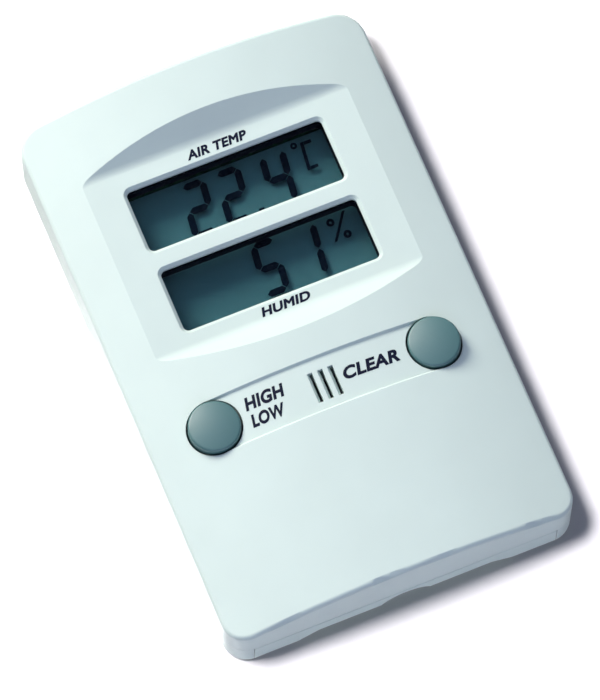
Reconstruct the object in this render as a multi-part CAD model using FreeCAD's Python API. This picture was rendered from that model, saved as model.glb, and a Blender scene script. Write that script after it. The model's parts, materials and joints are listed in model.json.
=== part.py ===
"""Digital maximum-minimum thermo-hygrometer: a flat wall and desk instrument with two display windows,
two round push buttons, a fold-out stand and a coin-cell battery door.

Millimetres. X is across the face, Y runs from the bottom end to the top end, Z points out of the face.
The origin is the middle of the back rest plane, so the instrument lies on its back on Z = 0.
"""
import FreeCAD, Part
import math
import os

# ---------------------------------------------------------------- driving dimensions
CASE_W = 58.2            # width across the two long sides
CASE_L = 91.3            # length, bottom end to the middle of the top end
CASE_T = 15.2            # depth at the crest of the crowned face
CROWN_R = 93.0           # radius of the crowned face, axis along Y
TOP_BOW = 0.5            # how far the top end bulges between its corners
R_TOP = 4.4              # plan radius of the top corners
R_BOTTOM = 4.0           # plan radius of the bottom corners
EDGE_FRONT = 0.8         # fillet around the face
EDGE_BACK = 1.0          # fillet around the back
WALL = 1.5               # wall thickness
SEAM_Z = 5.5             # parting plane between the two shells
SEAM_GAP = 0.1           # visible gap between neighbouring mouldings

FACET_DEPTH = 2.75       # the flat display facet lies this far below the crest
FACET_SLOPE = 35.0       # degrees that the facet's two end walls rise at
FACET_FILLET = 2.5       # hollow fillet at the foot of each end wall
FACET_TOP = 36.85        # the top end wall meets the crest here
FACET_BOTTOM = -2.8      # the same for the bottom end wall
FACET_SKIN = 0.95        # wall behind the facet

WINDOW_W = 33.0
WINDOW_H = 10.7
WINDOW_R = 0.9
WINDOW_BEVEL = 0.55
WINDOW_1_Y = 23.85       # temperature window
WINDOW_2_Y = 9.6         # humidity window
LCD_DEPTH = 4.0          # facet down to the face of the display

BUTTON_X = 18.4
BUTTON_Y = -12.45
BUTTON_HOLE_R = 4.46
BUTTON_CAP_R = 4.15
BUTTON_RIM_Z = 14.15     # shoulder of the cap's dome
BUTTON_DOME = 0.5        # rise of the dome above its shoulder
CAP_FILLET = 0.45
BUTTON_TRAVEL = 0.8
FLANGE_Z = 9.3           # underside of the flange that keeps a cap behind the shell
FLANGE_T = 0.7
PILL_R = 1.5             # carbon pill that bridges the board's contacts
PILL_T = 0.5
PILL_CLEARANCE = 0.1     # pill above the board when the button is pressed home
BAND_DEPTH = 0.4         # depth of the sunk band between the buttons
BAND_SLOPE = 0.3         # plan width of the band's sloped edges
SLOT_X = (-1.7, 0.0, 1.7)
SLOT_Y = -12.8
SLOT_W = 0.45
SLOT_L = 5.0
SLOT_FLARE = 0.42        # each slot's left flank leans out by this much
SLOT_FLARE_DEPTH = 0.7   # below the floor of the band

STAND_W = 50.6           # fold-out stand across its lip
STAND_HINGE_Y = -12.0
STAND_HINGE_Z = 1.3
STAND_T = 2.0            # plate thickness
STAND_Z = 0.2            # outer face of the plate above the rest plane
STAND_ANGLE = 30.0       # how far it swings out
STAND_LIP_T = 1.5
LIP_CHAMFER = 0.35       # along the lip's upper edge
STAND_HEEL = 1.0         # plate beyond the hinge line
HEEL_ROOM = 1.7          # recess beyond the hinge line
ARCH_H = 2.4             # arch between the stand's two feet
ARCH_FOOT_X = 20.0       # inner edge of each foot on the rest plane
ARCH_TOP_X = 14.5        # half width of the arch at its crown
ARCH_DEPTH = 3.2         # how far the arch runs into the plate
NOTCH_W = 8.2            # fingernail notch in the middle of the lip
NOTCH_H = 2.0
PIN_R = 0.8
PIN_L = 1.2              # pin beyond the end of the stand
PIN_CLEARANCE = 0.05
BARREL_R = 1.05          # bead along the plate that carries the pins

DOOR_W = 25.0            # battery door
DOOR_L = 27.0
DOOR_Y = 14.0
DOOR_T = 1.2
DOOR_Z = 0.15
DOOR_GAP = 0.15
DOOR_R = 2.5
HOOK_X = 7.0             # the two hooks at the door's lower edge
HOOK_HALF_W = 1.8
HOOK_REACH = 0.75        # how far a hook runs under the shell
HOOK_TOP = 2.4

CELL_R = 10.0            # coin cell, 20 mm across and 3.2 mm thick
CELL_T = 3.2
CELL_Z = 1.5
CELL_Y = DOOR_Y + 0.5
SEAL_Z = CELL_Z + 2.2    # floor of the groove that holds the cell's seal
SEAL_R = CELL_R - 0.9
SEAL_T = 0.4

BOARD_Z = 5.0            # rear face of the circuit board
BOARD_T = 1.0
BOARD_X = 26.0
BOARD_TOP = 35.0
BOARD_BOTTOM = -18.5

KEYHOLE_Y = 34.6         # wall hook: entry hole, then a narrow slot above it
KEYHOLE_R = 3.6
KEYHOLE_SLOT_R = 1.9
KEYHOLE_RISE = 5.0

SENSOR_W = 8.2           # humidity sensor housing behind the face slots
SENSOR_L = 7.8
SENSOR_H = 3.2
SHROUD_ROOM = 0.7        # gap between the housing and the shroud round it
SHROUD_T = 0.8
COLLAR_T = 1.0           # wall of the guide collar round a button

# ---------------------------------------------------------------- worked-out levels
HALF_W = CASE_W / 2
HALF_L = CASE_L / 2
CROWN_AXIS_Z = CASE_T - CROWN_R
FACET_Z = CASE_T - FACET_DEPTH
BOARD_FRONT = BOARD_Z + BOARD_T
LCD_Z = FACET_Z - LCD_DEPTH
PILL_TOP = BOARD_FRONT + PILL_CLEARANCE + BUTTON_TRAVEL + PILL_T
POLARISER_T = 0.2
GLASS_T = 0.8
LIQUID_T = 0.05
REFLECTOR_T = 0.25
FRONT_GLASS_Z = LCD_Z - POLARISER_T - GLASS_T
REAR_GLASS_Z = FRONT_GLASS_Z - LIQUID_T - GLASS_T
REFLECTOR_Z = REAR_GLASS_Z - REFLECTOR_T
LCD_Y = (WINDOW_1_Y + WINDOW_2_Y) / 2
LCD_W = 42.0
LCD_H = 31.0
LEDGE = 2.2              # front glass overhang that carries the contacts
LENS_T = 1.0
FILM_GAP = 0.05          # glue line between a flat part and its neighbour
LENS_TOP = FACET_Z - FACET_SKIN - FILM_GAP
POCKET_ROOM = 0.1        # slip fit of the display in its frame

# the recess is as deep as the heel's inner corner reaches when the stand is fully out
HEEL_CORNER_Z = STAND_Z + STAND_T - STAND_HINGE_Z
STAND_SWING = math.radians(STAND_ANGLE)
HEEL_REACH = HEEL_CORNER_Z * math.cos(STAND_SWING) + STAND_HEEL * math.sin(STAND_SWING)
STAND_RECESS = STAND_HINGE_Z + HEEL_REACH + 0.02

CASE_SCREWS = [
    # x, y, head seat z, shank length
    (-23.3, 38.6, 2.5, 6.0),
    (23.3, 38.6, 2.5, 6.0),
    (-19.5, -37.5, 4.3, 5.5),
    (19.5, -37.5, 4.3, 5.5),
]
SCREW_R = 1.1
SCREW_HEAD_R = 2.0
SCREW_HEAD_T = 1.4
SCREW_BOSS_R = 3.4       # pillar on the rear shell, round the head
FRONT_BOSS_R = 2.6       # post on the front shell, round the thread
PILLAR_CAP = 1.6         # plastic between a head's seat and the post
HEAD_ROOM = 0.3          # radial play round a head in its counterbore
SHANK_ROOM = 0.2         # the same round a shank in the pillar
BOARD_SCREWS = [(-24.1, 31.0), (24.1, 31.0), (-24.1, -3.5), (24.1, -3.5)]
BOARD_SCREW_R = 0.8
BOARD_HEAD_R = 1.5
BOARD_HEAD_T = 1.1
BOARD_SCREW_L = 4.2
BOARD_BOSS_R = 1.9
THREAD_FIT = 0.02        # plain shank to plain pilot hole
PILOT_SPARE = 0.2        # pilot hole beyond a board screw's tip
CUT = 0.1                # overrun of a cutting tool past the face it opens
OUTSIDE = 60.0           # beyond the case on every side

V = FreeCAD.Vector


# ---------------------------------------------------------------- helpers
def box(x0, x1, y0, y1, z0, z1):
    return Part.makeBox(x1 - x0, y1 - y0, z1 - z0, V(x0, y0, z0))


def cylinder(x, y, z0, z1, radius):
    return Part.makeCylinder(radius, z1 - z0, V(x, y, z0))


def rounded_box(x0, x1, y0, y1, z0, z1, radius):
    solid = box(x0, x1, y0, y1, z0, z1)
    upright = [e for e in solid.Edges if abs(e.tangentAt(e.FirstParameter).z) > 0.9]
    return solid.makeFillet(radius, upright)


def prism(points, direction):
    """Extrude a closed polygon of (x, y, z) points."""
    wire = Part.makePolygon([V(*p) for p in points] + [V(*points[0])])
    return Part.Face(wire).extrude(V(*direction))


def fuse(shapes):
    shapes = list(shapes)
    return shapes[0].multiFuse(shapes[1:]).removeSplitter() if len(shapes) > 1 else shapes[0]


def cut(base, tools):
    for tool in tools:
        base = base.cut(tool)
    return base


def mirrored(shapes):
    """The shapes and their mirror images across the middle plane X = 0."""
    shapes = list(shapes)
    return shapes + [s.mirror(V(0, 0, 0), V(1, 0, 0)) for s in shapes]


def crown_z(x, inset=0.0):
    """Height of the crowned face, or of a surface that lies inset below it."""
    return CROWN_AXIS_Z + math.sqrt((CROWN_R - inset) ** 2 - x * x)


def plan_prism(inset, z0, z1):
    """The case outline, drawn in by inset, as an upright prism."""
    w = HALF_W - inset
    y0 = -HALF_L + inset
    y1 = HALF_L - inset
    shoulder = y1 - TOP_BOW
    r_top = max(R_TOP - inset, 0.5)
    r_bottom = max(R_BOTTOM - inset, 0.5)
    top = Part.Arc(V(-w, shoulder, z0), V(0, y1, z0), V(w, shoulder, z0)).toShape()
    sides = [((-w, shoulder), (-w, y0)), ((-w, y0), (w, y0)), ((w, y0), (w, shoulder))]
    lines = [Part.makeLine(V(*a, z0), V(*b, z0)) for a, b in sides]
    solid = Part.Face(Part.Wire([top] + lines)).extrude(V(0, 0, z1 - z0))
    for radius, high in ((r_top, True), (r_bottom, False)):
        corner = [e for e in solid.Edges
                  if abs(e.tangentAt(e.FirstParameter).z) > 0.9
                  and (e.CenterOfMass.y > 0) == high
                  and abs(abs(e.CenterOfMass.x) - w) < 0.01]
        solid = solid.makeFillet(radius, corner)
    return solid


def crown_cylinder(inset):
    """Everything under the crowned face, lowered by inset."""
    length = CASE_L + 20
    return Part.makeCylinder(CROWN_R - inset, length, V(0, -length / 2, CROWN_AXIS_Z), V(0, 1, 0))


def facet_cutter(skin):
    """The trough that flattens the face round the windows, deepened and widened by skin."""
    slope = math.radians(FACET_SLOPE)
    run = FACET_DEPTH / math.tan(slope) + FACET_FILLET * math.tan(slope / 2)
    floor = FACET_Z - skin
    radius = FACET_FILLET + skin
    ceiling = CASE_T + 5
    width = HALF_W + 5

    def end_wall(foot, outwards):
        """Fillet and sloped wall of one end, from the foot of the fillet up."""
        def arc_point(angle):
            y = foot + outwards * radius * math.sin(angle)
            return V(-width, y, floor + radius * (1 - math.cos(angle)))

        start = arc_point(slope)
        top = V(-width, start.y + outwards * (ceiling - start.z) / math.tan(slope), ceiling)
        return [Part.Arc(arc_point(0), arc_point(slope / 2), start).toShape(), Part.makeLine(start, top)], top

    y_low = FACET_BOTTOM + run
    y_high = FACET_TOP - run
    low_wall, low_top = end_wall(y_low, -1)
    high_wall, high_top = end_wall(y_high, 1)
    flat = Part.makeLine(V(-width, y_low, floor), V(-width, y_high, floor))
    edges = [flat] + high_wall + [Part.makeLine(high_top, low_top)] + low_wall[::-1]
    return Part.Face(Part.Wire(edges)).extrude(V(2 * width, 0, 0))


def rim_edges(solid, low, high):
    """Edges that run round the outline between two heights, but not across the face."""
    return [e for e in solid.Edges if e.BoundBox.ZMin > low and e.BoundBox.ZMax < high]


def case_solid():
    body = plan_prism(0, 0, CASE_T + 1).common(crown_cylinder(0))
    edge_low = crown_z(HALF_W) - 0.5
    body = body.makeFillet(EDGE_FRONT, rim_edges(body, edge_low, CASE_T + 0.5))
    return body.makeFillet(EDGE_BACK, rim_edges(body, -0.01, 0.01))


def self_tapping_screw(x, y, seat, length, shank_r, head_r, head_t):
    """Pan-head screw seen from the back: head below its seat, shank up into the boss."""
    tip_length = 1.0
    tip_z = seat + length - tip_length
    shank = cylinder(x, y, seat, tip_z, shank_r)
    tip = Part.makeCone(shank_r, shank_r * 0.35, tip_length, V(x, y, tip_z))
    head = cylinder(x, y, seat - head_t, seat, head_r)
    lower = [e for e in head.Edges if abs(e.CenterOfMass.z - (seat - head_t)) < 0.01]
    head = head.makeFillet(head_t * 0.4, lower)
    arm = head_r * 0.62
    blade = head_r * 0.13
    depth = head_t * 0.55
    z0 = seat - head_t
    cross = box(x - arm, x + arm, y - blade, y + blade, z0 - CUT, z0 + depth)
    cross = cross.fuse(box(x - blade, x + blade, y - arm, y + arm, z0 - CUT, z0 + depth))
    return fuse([shank, tip, head]).cut(cross)


# ---------------------------------------------------------------- the shells
def window_cutter(y):
    """Window opening with a bevelled surround."""
    w = WINDOW_W / 2
    h = WINDOW_H / 2
    opening = rounded_box(-w, w, y - h, y + h, LENS_TOP - 1, CASE_T, WINDOW_R)

    def ring(z, grow):
        block = rounded_box(-w - grow, w + grow, y - h - grow, y + h + grow, z, z + 1, WINDOW_R + grow)
        flat = [f for f in block.Faces if abs(f.CenterOfMass.z - z) < 1e-6]
        return flat[0].OuterWire

    extra = 0.2
    low = ring(FACET_Z - WINDOW_BEVEL, 0)
    high = ring(FACET_Z + extra, WINDOW_BEVEL + extra)
    bevel = Part.makeLoft([low, high], True)
    return opening.fuse(bevel)


def band_cutter():
    """Shallow sunk band between the button holes: a trapezium swept round the axis of the crown."""
    above = BAND_DEPTH * 2
    slope = BAND_SLOPE / BAND_DEPTH
    floor_half = BUTTON_HOLE_R - 0.04 - BAND_SLOPE
    top_half = floor_half + slope * (BAND_DEPTH + above)
    angle = math.degrees(math.asin(BUTTON_X / CROWN_R))
    low = CASE_T - BAND_DEPTH
    high = CASE_T + above
    outline = [(0, BUTTON_Y - floor_half, low), (0, BUTTON_Y + floor_half, low),
               (0, BUTTON_Y + top_half, high), (0, BUTTON_Y - top_half, high)]
    face = Part.Face(Part.makePolygon([V(*p) for p in outline + outline[:1]]))
    axis_point = V(0, 0, CROWN_AXIS_Z)
    face.rotate(axis_point, V(0, 1, 0), -angle)
    return face.revolve(axis_point, V(0, 1, 0), 2 * angle)


def slot_cutter(x, y, width, length, z0, z1):
    """An upright slot with round ends, along Y."""
    r = width / 2
    return fuse([box(x - r, x + r, y - length / 2 + r, y + length / 2 - r, z0, z1),
                 cylinder(x, y - length / 2 + r, z0, z1, r),
                 cylinder(x, y + length / 2 - r, z0, z1, r)])


def air_slot(x):
    """A narrow slot over the sensor whose left flank leans outwards towards the surface."""
    right = x + (SLOT_W + SLOT_FLARE) / 2
    left = right - SLOT_W
    surface = crown_z(x) - BAND_DEPTH
    low = surface - SLOT_FLARE_DEPTH
    high = surface + BAND_DEPTH
    lean = SLOT_FLARE / SLOT_FLARE_DEPTH * (high - low)
    y0 = SLOT_Y - SLOT_L / 2
    outline = [(left, y0, low), (right, y0, low), (right, y0, high), (left - lean, y0, high)]
    through = box(left, right, y0, y0 + SLOT_L, BOARD_FRONT + SENSOR_H, surface)
    return fuse([through, prism(outline, (0, SLOT_L, 0))])


def sensor_shroud():
    """Square tube that hangs from the face round the sensor."""
    inner_x = SENSOR_W / 2 + SHROUD_ROOM
    inner_y = SENSOR_L / 2 + SHROUD_ROOM
    outer_x = inner_x + SHROUD_T
    outer_y = inner_y + SHROUD_T
    foot = BOARD_FRONT + SENSOR_H + 0.4
    tube = box(-outer_x, outer_x, SLOT_Y - outer_y, SLOT_Y + outer_y, foot, CASE_T)
    return tube.cut(box(-inner_x, inner_x, SLOT_Y - inner_y, SLOT_Y + inner_y, foot - CUT, CASE_T + CUT))


def front_shell(case):
    body = case.common(box(-OUTSIDE, OUTSIDE, -OUTSIDE, OUTSIDE, SEAM_Z + SEAM_GAP, OUTSIDE))
    body = body.cut(facet_cutter(0))
    room = plan_prism(WALL, 0, CASE_T).common(crown_cylinder(WALL)).cut(facet_cutter(FACET_SKIN))
    body = body.cut(room)
    # posts for the case screws and the board screws, guide collars and shroud, trimmed to end in the wall
    adds = [sensor_shroud()]
    cuts = []
    for x, y, seat, length in CASE_SCREWS:
        foot = seat + PILLAR_CAP + SEAM_GAP
        adds.append(cylinder(x, y, foot, CASE_T, FRONT_BOSS_R))
        cuts.append(cylinder(x, y, foot - CUT, seat + length + PILOT_SPARE, SCREW_R + THREAD_FIT))
    for x, y in BOARD_SCREWS:
        adds.append(cylinder(x, y, BOARD_FRONT, CASE_T, BOARD_BOSS_R))
        cuts.append(cylinder(x, y, BOARD_FRONT - CUT, BOARD_Z + BOARD_SCREW_L + PILOT_SPARE,
                             BOARD_SCREW_R + THREAD_FIT))
    collar_foot = FLANGE_Z + FLANGE_T + PIN_CLEARANCE
    adds += mirrored([cylinder(BUTTON_X, BUTTON_Y, collar_foot, CASE_T, BUTTON_HOLE_R + COLLAR_T)])
    mid_wall = plan_prism(WALL / 2, 0, CASE_T).common(crown_cylinder(WALL / 2))
    mid_wall = mid_wall.cut(facet_cutter(FACET_SKIN / 2))
    body = fuse([body] + [a.common(mid_wall) for a in adds])
    cuts += [window_cutter(WINDOW_1_Y), window_cutter(WINDOW_2_Y), band_cutter()]
    cuts += mirrored([cylinder(BUTTON_X, BUTTON_Y, SEAM_Z, CASE_T + CUT, BUTTON_HOLE_R)])
    cuts += [air_slot(x) for x in SLOT_X]
    return cut(body, cuts)


def stand_recess():
    """The room the stand folds into, open at the back and at the bottom end, and the wall that lines it."""
    half = STAND_W / 2 + SEAM_GAP
    top = STAND_HINGE_Y + HEEL_ROOM
    lip_y = -HALF_L + STAND_LIP_T + SEAM_GAP
    floor = 1.4
    recess = fuse([
        box(-half, half, -OUTSIDE, top, -CUT, STAND_RECESS),
        box(-half, half, -OUTSIDE, lip_y, -CUT, CASE_T),
    ])
    lining = fuse([
        box(-half - WALL, half + WALL, -OUTSIDE, top + WALL, -CUT, STAND_RECESS + floor),
        box(-half - WALL, half + WALL, -OUTSIDE, lip_y + WALL, -CUT, CASE_T),
    ])
    return recess, lining


def along_hinge(radius, half_length):
    """A round bar on the stand's hinge line."""
    start = V(-half_length, STAND_HINGE_Y, STAND_HINGE_Z)
    return Part.makeCylinder(radius, 2 * half_length, start, V(1, 0, 0))


def hinge_sockets():
    """Blocks beside the recess, and the blind bore through them that takes the stand's two pins."""
    half = STAND_W / 2 + SEAM_GAP
    depth = PIN_L + 0.1
    block = box(half, half + 2 * depth, STAND_HINGE_Y - 2.2, STAND_HINGE_Y + 2.2, WALL / 2, 4.0)
    return mirrored([block]), [along_hinge(PIN_R + PIN_CLEARANCE, half + depth)]


def screw_pillars():
    adds = []
    cuts = []
    for x, y, seat, _ in CASE_SCREWS:
        adds.append(cylinder(x, y, WALL / 2, seat + PILLAR_CAP, SCREW_BOSS_R))
        cuts.append(cylinder(x, y, -CUT, seat, SCREW_HEAD_R + HEAD_ROOM))
        cuts.append(cylinder(x, y, -CUT, seat + PILLAR_CAP + CUT, SCREW_R + SHANK_ROOM))
    return adds, cuts


def battery_bay():
    """Opening for the door, the round well that holds the cell, and pockets for the contact and the hooks."""
    w = DOOR_W / 2
    h = DOOR_L / 2
    well_top = BOARD_Z - 0.3
    rim = 1.5
    adds = [cylinder(0, CELL_Y, WALL / 2, well_top, CELL_R + 1.3),
            box(-w - rim, w + rim, DOOR_Y - h - rim, DOOR_Y + h + rim, WALL / 2, CELL_Z + 0.9)]
    cuts = [rounded_box(-w, w, DOOR_Y - h, DOOR_Y + h, -CUT, CELL_Z, DOOR_R),
            cylinder(0, CELL_Y, -CUT, BOARD_Z, CELL_R + 0.25),
            box(CELL_R - 1.5, CELL_R + 2.2, CELL_Y - 3.2, CELL_Y + 3.2, WALL, BOARD_Z)]
    hook_half = HOOK_HALF_W + 0.4
    edge = DOOR_Y - h
    cuts += mirrored([box(HOOK_X - hook_half, HOOK_X + hook_half, edge - 2.0, edge + 2.7,
                          WALL, HOOK_TOP + 1.2)])
    return adds, cuts


def wall_hook():
    """A keyhole that opens into a closed pocket."""
    y0 = KEYHOLE_Y - 4.7
    y1 = KEYHOLE_Y + KEYHOLE_RISE + 3.4
    half = KEYHOLE_R + 1.6
    adds = [box(-half, half, y0, y1, WALL / 2, BOARD_Z - 0.3)]
    cuts = [box(-half + 1.0, half - 1.0, y0 + 0.9, y1 - 1.0, WALL, BOARD_Z - 1.1),
            cylinder(0, KEYHOLE_Y, -CUT, WALL + CUT, KEYHOLE_R),
            box(-KEYHOLE_SLOT_R, KEYHOLE_SLOT_R, KEYHOLE_Y, KEYHOLE_Y + KEYHOLE_RISE, -CUT, WALL + CUT),
            cylinder(0, KEYHOLE_Y + KEYHOLE_RISE, -CUT, WALL + CUT, KEYHOLE_SLOT_R)]
    return adds, cuts


def rear_shell(case):
    body = case.common(box(-OUTSIDE, OUTSIDE, -OUTSIDE, OUTSIDE, -CUT, SEAM_Z))
    recess, lining = stand_recess()
    body = body.cut(plan_prism(WALL, WALL, CASE_T).cut(lining))
    inside = plan_prism(WALL / 2, 0, SEAM_Z)
    adds = []
    cuts = [recess]
    for more_adds, more_cuts in (hinge_sockets(), screw_pillars(), battery_bay(), wall_hook()):
        adds += more_adds
        cuts += more_cuts
    # air slots behind the sensor
    cuts += [slot_cutter(x, -5.3, 1.0, 5.0, -CUT, WALL + CUT) for x in range(-8, 9, 2)]
    body = fuse([body] + [a.common(inside) for a in adds])
    return cut(body, cuts)


# ---------------------------------------------------------------- moving covers
def stand_arch():
    """Cutter for the arch between the two feet, as a prism along Y."""
    end = -HALF_L + STAND_LIP_T + ARCH_DEPTH
    outline = [(-ARCH_FOOT_X, -OUTSIDE, -CUT), (-ARCH_FOOT_X, -OUTSIDE, 0), (-ARCH_TOP_X, -OUTSIDE, ARCH_H),
               (ARCH_TOP_X, -OUTSIDE, ARCH_H), (ARCH_FOOT_X, -OUTSIDE, 0), (ARCH_FOOT_X, -OUTSIDE, -CUT)]
    return prism(outline, (0, OUTSIDE + end, 0))


def stand_notch():
    """Fingernail notch: the segment of a circle with the wanted width and height."""
    radius = ((NOTCH_W / 2) ** 2 + NOTCH_H ** 2) / (2 * NOTCH_H)
    return Part.makeCylinder(radius, OUTSIDE - HALF_L + STAND_LIP_T + ARCH_DEPTH,
                             V(0, -OUTSIDE, ARCH_H + NOTCH_H - radius), V(0, 1, 0))


def table_stand(case):
    half = STAND_W / 2 - SEAM_GAP / 2
    plate = box(-half, half, -HALF_L, STAND_HINGE_Y + STAND_HEEL, STAND_Z, STAND_Z + STAND_T)
    lip = box(-half, half, -HALF_L, -HALF_L + STAND_LIP_T, 0, SEAM_Z)
    chamfer = [(-OUTSIDE, -HALF_L, SEAM_Z - LIP_CHAMFER), (-OUTSIDE, -HALF_L + LIP_CHAMFER, SEAM_Z),
               (-OUTSIDE, -HALF_L, SEAM_Z)]
    lip = lip.cut(prism(chamfer, (2 * OUTSIDE, 0, 0)))
    foot_pads = mirrored([box(ARCH_FOOT_X - 1, half, -HALF_L, -HALF_L + 5, 0, STAND_Z + CUT)])
    body = fuse([plate, lip] + foot_pads).common(case)
    groove_w = 0.7
    grooves = [box(-10, 10, y, y + groove_w, -CUT, STAND_Z + 0.3)
               for y in (-HALF_L + 8 + 1.6 * i for i in range(4))]
    body = cut(body, [stand_arch(), stand_notch()] + grooves)
    return fuse([body, along_hinge(BARREL_R, half), along_hinge(PIN_R, half + PIN_L)])


def battery_door():
    w = DOOR_W / 2 - DOOR_GAP
    h = DOOR_L / 2 - DOOR_GAP
    y0 = DOOR_Y - h
    y1 = DOOR_Y + h
    inner_z = DOOR_Z + DOOR_T
    plate = rounded_box(-w, w, y0, y1, DOOR_Z, inner_z, DOOR_R - DOOR_GAP)
    root = y0 + 1.2
    near, far = HOOK_X - HOOK_HALF_W, HOOK_X + HOOK_HALF_W
    hooks = mirrored([box(near, far, y0, root, inner_z - CUT, HOOK_TOP),
                      box(near, far, y0 - HOOK_REACH, root, WALL + 0.08, HOOK_TOP)])
    # a shallow dish and three grooves for the thumb
    dish_r = 9.0
    dish = Part.makeSphere(dish_r, V(0, y1 - 4.2, DOOR_Z + 0.65 - dish_r))
    grooves = [box(-5, 5, y, y + 0.7, -CUT, DOOR_Z + 0.25) for y in (y1 - 9.5 - 1.5 * i for i in range(3))]
    return cut(fuse([plate] + hooks), [dish] + grooves)


def button_cap(side):
    """Domed cap, hollow underneath, with a flange that keeps it behind the shell."""
    x = side * BUTTON_X
    y = BUTTON_Y
    wall = 1.2
    post_r = 1.6
    sphere_r = (BUTTON_CAP_R ** 2 + BUTTON_DOME ** 2) / (2 * BUTTON_DOME)
    top = BUTTON_RIM_Z + BUTTON_DOME
    stem = cylinder(x, y, FLANGE_Z, top, BUTTON_CAP_R)
    stem = stem.common(Part.makeSphere(sphere_r, V(x, y, top - sphere_r)))
    shoulder = [e for e in stem.Edges if abs(e.CenterOfMass.z - BUTTON_RIM_Z) < 0.05 and len(e.Vertexes) == 1]
    stem = stem.makeFillet(CAP_FILLET, shoulder)
    flange = cylinder(x, y, FLANGE_Z, FLANGE_Z + FLANGE_T, BUTTON_CAP_R + 0.9)
    hollow = cylinder(x, y, FLANGE_Z - CUT, BUTTON_RIM_Z - wall, BUTTON_CAP_R - wall)
    post = cylinder(x, y, FLANGE_Z, BUTTON_RIM_Z - wall / 2, post_r)
    return fuse([fuse([stem, flange]).cut(hollow), post])


def key_dome(side):
    """Silicone dome that pushes a cap back up; a skirt, a cone and a top pad over a short post."""
    x = side * BUTTON_X
    base = BOARD_FRONT
    outline = [  # radius, height
        (4.4, base), (4.4, base + 0.7), (3.9, base + 0.7), (2.7, base + 2.3), (2.7, FLANGE_Z), (0, FLANGE_Z),
        (0, PILL_TOP), (PILL_R, PILL_TOP), (PILL_R, PILL_TOP + 0.8), (2.1, PILL_TOP + 0.8), (3.3, base + 0.5),
        (3.3, base)]
    wire = Part.makePolygon([V(x + r, BUTTON_Y, z) for r, z in outline + outline[:1]])
    return Part.Face(wire).revolve(V(x, BUTTON_Y, 0), V(0, 0, 1), 360)


def contact_pill(side):
    return cylinder(side * BUTTON_X, BUTTON_Y, PILL_TOP - PILL_T, PILL_TOP, PILL_R)


# ---------------------------------------------------------------- display
def display_lens():
    half_w = 19.5
    half_h = 14.6
    return rounded_box(-half_w, half_w, LCD_Y - half_h, LCD_Y + half_h, LENS_TOP - LENS_T, LENS_TOP, 1.0)


def lcd_plate(z, thickness, trim_y=0.0, trim_x=0.0):
    half_w = LCD_W / 2 - trim_x
    half_h = LCD_H / 2 - trim_y
    return box(-half_w, half_w, LCD_Y - half_h, LCD_Y + half_h, z, z + thickness)


def lcd_carrier():
    """Frame that holds the display on the board and walls in each window up to the lens."""
    pocket_x = LCD_W / 2 + POCKET_ROOM
    pocket_y = LCD_H / 2 + POCKET_ROOM
    wall = 1.0
    outer_x = pocket_x + wall
    outer_y = pocket_y + wall
    frame = rounded_box(-outer_x, outer_x, LCD_Y - outer_y, LCD_Y + outer_y, BOARD_FRONT + THREAD_FIT,
                        LENS_TOP - LENS_T - FILM_GAP, 1.2)
    pocket = box(-pocket_x, pocket_x, LCD_Y - pocket_y, LCD_Y + pocket_y, 0, LCD_Z + FILM_GAP)
    half_w = WINDOW_W / 2 + POCKET_ROOM
    half_h = WINDOW_H / 2 + POCKET_ROOM
    sights = [rounded_box(-half_w, half_w, y - half_h, y + half_h, 0, CASE_T, WINDOW_R)
              for y in (WINDOW_1_Y, WINDOW_2_Y)]
    return cut(frame, [pocket] + sights)


def elastomer_connectors():
    """Two strips of layered rubber that join the glass ledges to the board."""
    half_length = 18.0
    half_t = 0.75
    squeeze = 0.01
    strips = []
    for end in (-1, 1):
        y = LCD_Y + end * (LCD_H / 2 - LEDGE / 2)
        strips.append(box(-half_length, half_length, y - half_t, y + half_t,
                          BOARD_FRONT + squeeze, FRONT_GLASS_Z - squeeze))
    return Part.makeCompound(strips)


DIGIT_H = 9.4            # digit height, outline to outline
DIGIT_W = 3.35           # between the centre lines of the upright segments
SEGMENT_T = 1.12
SEGMENT_GAP = 0.1
SLANT = math.tan(math.radians(7.0))
READING_1_Y = WINDOW_1_Y + 0.15   # middle of the temperature's digits
READING_2_Y = WINDOW_2_Y + 1.15   # middle of the humidity's digits
TEMPERATURE = (("2", -6.15), ("2", -0.3), ("4", 7.37))
HUMIDITY = (("5", 0.45), ("1", 7.1))
SEGMENTS = {"2": "abged", "4": "fgbc", "5": "afgcd", "1": "bc"}


def slanted_prism(points, cx, cy):
    placed = [(cx + x + y * SLANT, cy + y, FRONT_GLASS_Z - LIQUID_T) for x, y in points]
    return prism(placed, (0, 0, LIQUID_T))


def segment_outline(name):
    """Six-sided bar of a seven-segment digit, about the digit's centre."""
    half_h = (DIGIT_H - SEGMENT_T) / 2
    half_w = DIGIT_W / 2
    t = SEGMENT_T / 2
    flat = {"a": half_h, "g": 0.0, "d": -half_h}
    if name in flat:
        y = flat[name]
        end = half_w - SEGMENT_GAP
        return [(-end, y), (-end + t, y + t), (end - t, y + t), (end, y), (end - t, y - t), (-end + t, y - t)]
    x = half_w if name in "bc" else -half_w
    low = SEGMENT_GAP if name in "bf" else -half_h + SEGMENT_GAP
    high = half_h - SEGMENT_GAP if name in "bf" else -SEGMENT_GAP
    return [(x, low), (x + t, low + t), (x + t, high - t), (x, high), (x - t, high - t), (x - t, low + t)]


def digit(figure, cx, cy):
    return [slanted_prism(segment_outline(s), cx, cy) for s in SEGMENTS[figure]]


def bar(x, y, width, height, cx, cy):
    return slanted_prism([(x, y), (x + width, y), (x + width, y + height), (x, y + height)], cx, cy)


def ring(x, y, outer, inner):
    z = FRONT_GLASS_Z - LIQUID_T
    return cylinder(x, y, z, z + LIQUID_T, outer).cut(cylinder(x, y, z, z + LIQUID_T, inner))


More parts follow.
